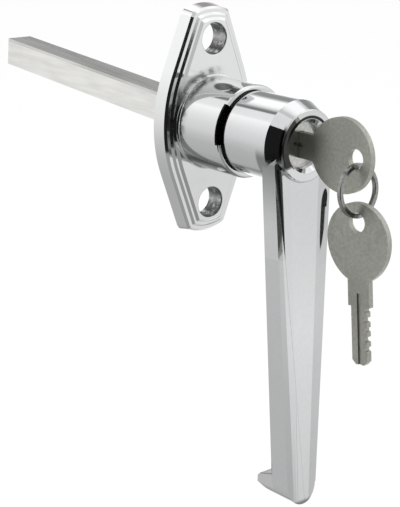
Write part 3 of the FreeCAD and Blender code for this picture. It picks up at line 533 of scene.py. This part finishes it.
# The camera, as fitted to the photo: its place in millimetres, and the directions of its right
# side and its back.
CAMERA_PLACE = (-255.225, -293.009, 79.82)
CAMERA_RIGHT = (0.756661, -0.653415, 0.022659)
CAMERA_BACK = (-0.630371, -0.719902, 0.290472)
CAMERA_RANGE = (0.01, 50.0)
SENSOR_WIDTH = 36.0

FLOOR_SIZE = 12.0
FLOOR_SHADE = 0.9
FLOOR_GLOW = 0.8

# The light tent, as the bright metal mirrors it. Behind the door's side its shade goes by the
# angle about the Y axis, from straight down (-180) over the left (-90), up (0) and right (90).
TENT_PEAK = 1.6
TENT_RING = [
    (-180, 0.58), (-150, 0.62), (-130, 0.66), (-112, 0.78), (-98, 0.93), (-80, 1.02), (-62, 1.16),
    (-40, 1.4), (-33, 1.18), (-14, 1.15), (-11, 0.28), (-5, 0.3), (-1, 0.75), (7, 1.3), (14, 1.5),
    (34, 1.5), (40, 0.95), (47, 0.4), (62, 0.36), (78, 0.6), (92, 1.2), (110, 1.45), (130, 1.4),
    (145, 1.0), (158, 0.65), (172, 0.34), (180, 0.5),
]
# Before the door it goes by height, as the sine of the elevation, and by the turn from straight
# ahead to the right.
TENT_HEIGHT = [
    (-1.0, 0.9), (-0.5, 0.85), (-0.37, 0.9), (-0.27, 1.08), (-0.18, 0.95), (0.1, 1.05),
    (0.5, 1.5), (1.0, 1.5),
]
TENT_TURN = [
    (-180, 1.0), (-30, 0.45), (-8, 0.5), (8, 0.6), (20, 0.67), (29, 0.68), (34, 0.97), (44, 1.0),
    (53, 1.0), (57, 0.82), (75, 0.8), (100, 1.0), (180, 1.0),
]
# The Y of a direction where the tent before the door starts to give way to the one behind it,
# and where it has done so.
TENT_CHANGE = (-0.1, 0.3)

# Dark cards that only the metal mirrors: centre, direction faced, width and height, shade. A
# high board stands on the left, from beside the door to behind the camera. A low card stands
# in front, and a smaller one low on the right.
CARDS = {
    "black_board": ((-0.94, -0.70, 0.0), (0.94, -0.34, 0.0), (1.8, 1.27), 0.015),
    "dark_front": ((-0.451, -1.431, -0.374), (0.301, 0.954, 0.0), (1.43, 0.59), 0.06),
    "right_flag": ((1.434, -0.439, -0.50), (-0.956, 0.293, 0.0), (0.475, 0.34), 0.03),
}

LAMP_PLACE = (-0.2, -0.3, 0.7)
LAMP_SIZE = (0.6, 0.6)
LAMP_POWER = 3.0


def card(name, centre, facing, size, shade):
    """A flat card that only mirror rays see."""
    bpy.ops.mesh.primitive_plane_add(size=1.0, location=(0, 0, 0))
    plane = bpy.context.object
    plane.name = name
    turn = Vector(facing).normalized().to_track_quat("Z", "Y").to_matrix().to_4x4()
    stretch = Matrix.Diagonal((*size, 1.0, 1.0))
    plane.data.transform(Matrix.Translation(Vector(centre)) @ turn @ stretch)
    material, maker = new_material(name + "_paper")
    maker.finish(maker.node("ShaderNodeEmission", None, {
        "Color": (1, 1, 1, 1), "Strength": shade}).out())
    plane.data.materials.append(material)
    plane.visible_camera = False
    plane.visible_diffuse = False
    plane.visible_shadow = False


def lamp(name, place, size, power):
    """A soft lamp that shines on the origin and isn't mirrored."""
    light = bpy.data.lights.new(name, "AREA")
    light.shape = "RECTANGLE"
    light.size, light.size_y = size
    light.energy = power
    holder = bpy.data.objects.new(name, light)
    bpy.context.scene.collection.objects.link(holder)
    holder.location = place
    holder.rotation_euler = (-Vector(place)).to_track_quat("-Z", "Y").to_euler()
    holder.visible_glossy = False


def camera(scene, focal_length):
    """The camera, where the photo was taken from."""
    data = bpy.data.cameras.new("camera")
    data.sensor_fit = "HORIZONTAL"
    data.sensor_width = SENSOR_WIDTH
    data.lens = focal_length
    data.clip_start, data.clip_end = CAMERA_RANGE
    holder = bpy.data.objects.new("camera", data)
    scene.collection.objects.link(holder)
    back = Vector(CAMERA_BACK).normalized()
    right = Vector(CAMERA_RIGHT).normalized()
    turn = Matrix((right, back.cross(right), back)).transposed().to_4x4()
    holder.matrix_world = Matrix.Translation(Vector(CAMERA_PLACE) * MM) @ turn
    scene.camera = holder


def floor(drop):
    """A white floor that glows a little for the camera."""
    bpy.ops.mesh.primitive_plane_add(size=FLOOR_SIZE, location=(0, 0, -drop))
    plane = bpy.context.object
    plane.name = "floor"
    bpy.ops.object.transform_apply(location=True)
    plane.visible_glossy = False
    material, maker = new_material("pale_floor")
    plain = maker.node("ShaderNodeBsdfDiffuse", None, {
        "Color": (FLOOR_SHADE, FLOOR_SHADE, FLOOR_SHADE, 1)})
    glow = maker.node("ShaderNodeEmission", None, {"Color": (1, 1, 1, 1), "Strength": 1.0})
    seen = maker.node("ShaderNodeLightPath").out("Is Camera Ray")
    maker.finish(maker.node("ShaderNodeMixShader", None, {
        0: seen * FLOOR_GLOW, 1: plain.out(), 2: glow.out()}).out())
    plane.data.materials.append(material)


def spread(stops, low, high, peak=1.0):
    """Stops on a scale from low to high, as places from 0 to 1 and shades below 1."""
    return [((at - low) / (high - low), shade / peak) for at, shade in stops]


def bearing(aside, ahead):
    """The turn from ahead towards aside, from 0 for -180 degrees to 1 for 180."""
    return aside.math("ARCTAN2", ahead) / (2 * math.pi) + 0.5


def tent_shade(maker):
    """The shade of the tent in the direction of a ray, as a share of its peak."""
    x, y, z = maker.axes(maker.node("ShaderNodeTexCoord").out("Generated"))
    behind = maker.shades(bearing(x, z), spread(TENT_RING, -180, 180, TENT_PEAK))
    ahead = (maker.shades(z.ramp(-1.0, 1.0), spread(TENT_HEIGHT, -1, 1, TENT_PEAK))
             * maker.shades(bearing(x, 0.0 - y), spread(TENT_TURN, -180, 180)))
    return blend(y.step(*TENT_CHANGE), ahead, behind)


def tent(scene):
    """White for the camera and for matt surfaces, the tent for what mirrors it."""
    world = scene.world or bpy.data.worlds.new("world")
    scene.world = world
    world.use_nodes = True
    # The tent is smooth, so it needs no map of its bright parts.
    world.cycles.sampling_method = "NONE"
    maker = Maker(world.node_tree)
    mirrored = maker.node("ShaderNodeLightPath").out("Is Glossy Ray")
    strength = blend(mirrored, 1.0, tent_shade(maker) * TENT_PEAK)
    maker.finish(maker.node("ShaderNodeBackground", None, {
        "Color": (1, 1, 1, 1), "Strength": strength}).out(), "ShaderNodeOutputWorld")


class LOCK_OT_studio(bpy.types.Operator):
    """Camera, floor, cards, lamp and world"""
    bl_idname = "lock.studio"
    bl_label = "Studio"

    def execute(self, context):
        scene = context.scene
        scene.view_settings.view_transform = "Standard"
        camera(scene, scene.lock_studio.focal_length)
        floor(scene.lock_studio.floor_drop)
        tent(scene)
        for name, values in CARDS.items():
            card(name, *values)
        lamp("top_lamp", LAMP_PLACE, LAMP_SIZE, LAMP_POWER)
        return {"FINISHED"}


class LOCK_PT_panel(bpy.types.Panel):
    """Sidebar panel that lists the settings and the steps"""
    bl_idname = "LOCK_PT_panel"
    bl_label = "Handle Lock"
    bl_space_type = "VIEW_3D"
    bl_region_type = "UI"
    bl_category = "Handle Lock"

    def draw(self, context):
        for group in (context.scene.lock_finish, context.scene.lock_studio):
            for name in group.bl_rna.properties.keys():
                if name not in ("rna_type", "name"):
                    self.layout.prop(group, name)
        for step in STEPS:
            self.layout.operator(step.bl_idname)


STEPS = [LOCK_OT_studio, LOCK_OT_castings, LOCK_OT_spindle, LOCK_OT_lock_parts, LOCK_OT_keys]
GROUPS = [LockFinish, LockStudio]


def register():
    for kind in GROUPS + STEPS + [LOCK_PT_panel]:
        bpy.utils.register_class(kind)
    bpy.types.Scene.lock_finish = bpy.props.PointerProperty(type=LockFinish)
    bpy.types.Scene.lock_studio = bpy.props.PointerProperty(type=LockStudio)


def unregister():
    del bpy.types.Scene.lock_studio
    del bpy.types.Scene.lock_finish
    for kind in reversed(GROUPS + STEPS + [LOCK_PT_panel]):
        bpy.utils.unregister_class(kind)


def main():
    register()
    for step in STEPS:
        group, name = step.bl_idname.split(".")
        getattr(getattr(bpy.ops, group), name)()


if __name__ == "__main__":
    main()
